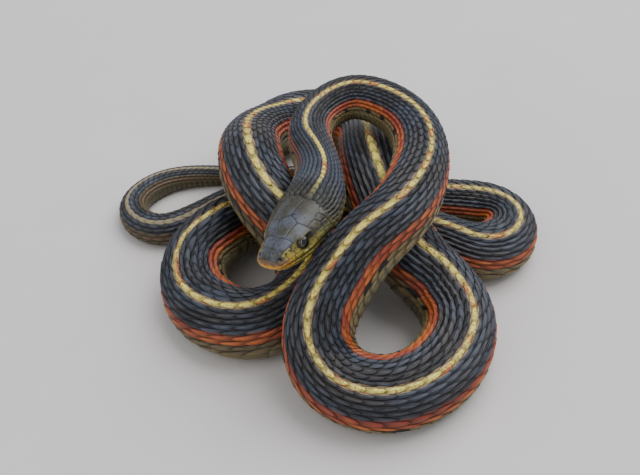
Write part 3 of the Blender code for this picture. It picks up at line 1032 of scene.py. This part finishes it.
def side_stripe(marks):
    """Orange that turns a darker red in patches, more of them high on the stripe: partly the stripe's
    own red, partly painted shade.
    """
    red_and_shade = marks.slow * 0.8 + marks.streaks * 0.5 + marks.tint * 0.3 + marks.fine * 0.3
    red_and_shade = red_and_shade - marks.ragged.ramp(59, 67) * 0.2
    return mix(red_and_shade.ramp(0.6, 1.04), SIDE_ORANGE, SIDE_RED_AND_SHADE)


def low_flank(marks):
    """Olive and brown under the side stripe, with painted shade along the left strand."""
    shade = marks.streaks * 0.8 + marks.fine * 0.3
    flank = mix(shade.ramp(0.42, 0.75), FLANK_OLIVE, FLANK_BROWN)
    # Painted shade, black, on the lower flank along the left strand.
    return mix(marks.along.band(*SHADED_FLANK, 30) * 0.5, flank, BLACK)


def back_stripe(marks):
    """Yellow with painted shade in patches and brown specks down the middle of the back, duller at its
    edges and along the tail.
    """
    # Where painted shade lies on the stripe, in patches.
    shade = marks.tint * 0.3 + marks.streaks * 0.5 + marks.fine.ramp(0.4, 0.62) * 0.4
    stripe = mix(shade.ramp(0.5, 1.05), STRIPE_YELLOW, STRIPE_PAINTED_SHADE)
    stripe = mix(marks.across.ramp(1.5, 5.6) * 0.85, stripe, STRIPE_EDGE)
    stripe = mix(marks.specks.ramp(0.54, 0.63) * 0.6, stripe, SPECK_BROWN)
    return mix(marks.tail, stripe, TAIL_STRIPE)


def body_colour(marks):
    """The stripes and spots that skin and scales share."""
    across, ragged, tint = marks.across, marks.ragged, marks.tint
    sided = ragged.band(*SIDE_BAND, 0.8) * marks.along.ramp(*SIDE_START)
    colour = mix(sided, dark_back(marks), side_stripe(marks))
    spotted = tint.ramp(0.76, 0.8) * ragged.band(*SPOT_BAND, 1)
    colour = mix(spotted * 0.92, colour, BLACK)
    colour = mix(ragged.ramp(*FLANK_EDGE) * (1 - spotted), colour, low_flank(marks))
    belly = mix(marks.slow.ramp(0.35, 0.65), BELLY_OLIVE, FLANK_OLIVE)
    colour = mix(across.ramp(*BELLY_BLEND), colour, belly)
    colour = mix(marks.striped, colour, back_stripe(marks))
    fleck = tint.ramp(0.6, 0.64) * marks.patches.ramp(0.47, 0.53) * marks.fine.ramp(0.32, 0.46)
    fleck = fleck * (1 - marks.tail) * across.band(*FLECK_BAND, 0.8)
    colour = mix(fleck * 0.85, colour, FLECK_RED)
    colour = mix(marks.tail * ragged.ramp(*TAIL_SIDE) * 0.9, colour, TAIL_TAN)
    # Dark rims, dark skin between scales and painted shade at the scales' roots.
    return mix(marks.gap, colour, BLACK)


def crown_colour(finish, marks, mottle):
    """Grey shields with brown patches, browner towards the nape and low on the sides."""
    patches = finish.grain(260, 2)
    crown = mix(patches.ramp(0.36, 0.64), CROWN_GREY, CROWN_BROWN)
    browner = marks.along * 0.05 + marks.across * 0.008 + patches * 0.6
    crown = mix(browner.ramp(0.9, 1.5) * 0.9, crown, CROWN_BROWN)
    return mix(mottle.ramp(0.52, 0.68) * 0.7, crown, SEAM_BROWN)


def cheek_colour(finish, marks, mottle):
    """Spotted yellow to olive beside the eye, over lips that turn from gold to green towards the jaw."""
    lip = mix(marks.along.ramp(8, 15), LIP_YELLOW, JAW_GREEN)
    lip = mix(1 - marks.along.ramp(2, 5.5), lip, LIP_GOLD)
    lip = mix(mottle.ramp(0.45, 0.68) * 0.6, lip, JAW_OLIVE)
    cheek = mix(marks.along.ramp(2, 9), LIP_YELLOW, JAW_OLIVE)
    cheek = mix(finish.grain(900, 2).ramp(0.5, 0.58) * 0.85, cheek, SEAM_BROWN)
    return mix(marks.across.ramp(*LIP_EDGE), cheek, lip)


def head_colour(finish, marks):
    """Grey crown, yellow cheeks, gold front of the snout and cream chin, with dark seams, and painted
    shade in the nostrils and eye hollows.
    """
    across, along = marks.across, marks.along
    mottle = finish.grain(1300, 3)
    cheeks = across.ramp(*CHEEK_EDGE) * along.ramp(2, 3)
    crown, cheek = crown_colour(finish, marks, mottle), cheek_colour(finish, marks, mottle)
    colour = mix(cheeks, crown, cheek)
    height = finish.number("rise") + (mottle - 0.5) * 1.6
    front = mix(height.ramp(0.1, 1.2), LIP_GOLD, LIP_BROWN)
    snout = (1 - height.ramp(1.0, 1.9)) * (1 - along.ramp(2.2, 3.6))
    colour = mix(snout, colour, front)
    smudge = along.band(*SMUDGE, 0.5) * across.band(*SMUDGE_BAND, 4)
    colour = mix(smudge * 0.7, colour, SEAM_BROWN)
    colour = mix(across.ramp(*CHIN_EDGE), colour, CHIN_CREAM)
    mouth = across.band(*MOUTH_BAND, 0.7) * (1 - along.ramp(MOUTH_CORNER - 0.9, MOUTH_CORNER + 0.2))
    colour = mix(finish.number("seam").larger(mouth) * 0.75, colour, SEAM_BROWN)
    # Painted shade, black, in the nostrils, the eye hollows and along the eyes' lower rims.
    return mix(finish.number("dark"), colour, PUPIL_AND_SHADE_BLACK)


def skin_finish():
    finish = Finish("skin")
    marks = Markings(finish)
    head, body = head_colour(finish, marks), body_colour(marks)
    colour = mix(marks.along.ramp(*CROWN_END), head, body)
    grain = finish.grain(1800, 4)
    rough = 0.28 + grain * 0.2
    return finish.set(Base_Color=colour, Roughness=rough, Normal=finish.bump(grain, 0.16, 0.0003))


def scale_finish():
    finish = Finish("scales")
    marks = Markings(finish)
    # Dark rims and painted shade at the roots of the scales on the head.
    head = mix(marks.gap, head_colour(finish, marks), BLACK)
    colour = mix(marks.along.ramp(*CROWN_END_ON_SCALES), head, body_colour(marks))
    grain = finish.grain(3200, 3)
    rough = 0.42 + grain * 0.2
    return finish.set(Base_Color=colour, Roughness=rough, Normal=finish.bump(grain, 0.15, 0.0002))


def eye_finish():
    """Round black pupil in a thin pale ring that is lit at the upper front, dark iris, wet gloss."""
    finish = Finish("eye")
    off_axis, spin = finish.number("off_axis"), finish.number("spin")
    grain = finish.drift(spin * 6, off_axis * 0.08, 1.0, 3)
    iris = mix(grain.ramp(0.35, 0.7), IRIS_DARK, IRIS_BROWN)
    colour = mix(off_axis.ramp(*IRIS_EDGE), iris, EYE_EDGE)
    lit = finish.number("upper_front").ramp(0.35, 0.75) * 0.55 + 0.04
    ring = off_axis.band(*IRIS_RING, 1.2) * lit * (0.5 + grain)
    colour = mix(ring, colour, IRIS_PALE)
    colour = mix(1 - off_axis.ramp(*PUPIL_EDGE), colour, PUPIL_AND_SHADE_BLACK)
    return finish.set(Base_Color=colour, Roughness=0.2, Coat_Weight=0.6, Coat_Roughness=0.08)


def floor_finish():
    finish = Finish("floor")
    colour = mix(finish.grain(40, 4), FLOOR_GREY, FLOOR_PALE)
    return finish.set(Base_Color=colour, Roughness=0.8)


def add_floor():
    corners = np.array([(-1, -1, 0), (1, -1, 0), (1, 1, 0), (-1, 1, 0)]) * FLOOR_HALF
    made = new_mesh("floor", corners, [[0, 1, 2, 3]])
    made.data.materials.append(floor_finish())


def add_lights():
    for name, place, size, power, colour in LAMPS:
        lamp = bpy.data.lights.new(name, "AREA")
        lamp.size = size
        lamp.energy = power
        lamp.color = colour
        made = add_object(name, lamp)
        made.location = place
        made.rotation_euler = (-Vector(place)).to_track_quat("-Z", "Y").to_euler()
    world = bpy.data.worlds.new("studio")
    world.use_nodes = True
    background = world.node_tree.nodes["Background"]
    background.inputs["Color"].default_value = SKY_COLOUR
    background.inputs["Strength"].default_value = SKY_STRENGTH
    bpy.context.scene.world = world


def add_camera():
    """The photograph's view: from the front, looking down on the heap."""
    tilt = math.radians(CAMERA_ELEVATION)
    target = Vector((-HEAP_MIDDLE[0] * MM, -HEAP_MIDDLE[1] * MM, 0))
    back = Vector((0, -math.cos(tilt), math.sin(tilt)))
    lens = bpy.data.cameras.new("camera")
    lens.sensor_width = SENSOR
    lens.lens = SENSOR * FOCAL_PIXELS / PHOTO_WIDTH
    lens.clip_start = 0.01
    camera = add_object("camera", lens)
    camera.location = target + back * CAMERA_REACH * MM
    camera.rotation_euler = (-back).to_track_quat("-Z", "Y").to_euler()
    bpy.context.scene.camera = camera


def dress(piece, material):
    """Gives a piece its material and slot, and lets it ride on the body."""
    piece.data.materials.append(material)
    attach(piece, "root")


def add_snake(nodes):
    """The skin in place of all the flesh, the coat of scales over it, and the eyes."""
    hide = skin()
    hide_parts(*(name for name in nodes if not name.startswith("eye")))
    dress(hide, skin_finish())
    coat_material = scale_finish()
    for piece in scales() + belly_plates():
        dress(piece, coat_material)
    eye_material = eye_finish()
    for word, side in (("left", 1), ("right", -1)):
        ball = eyeball(f"eyeball_{word}", side)
        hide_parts(f"eye_{word}")
        dress(ball, eye_material)


def main():
    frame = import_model()
    add_camera()
    add_lights()
    add_floor()
    add_snake(frame["nodes"])
    bpy.context.view_layer.update()


main()
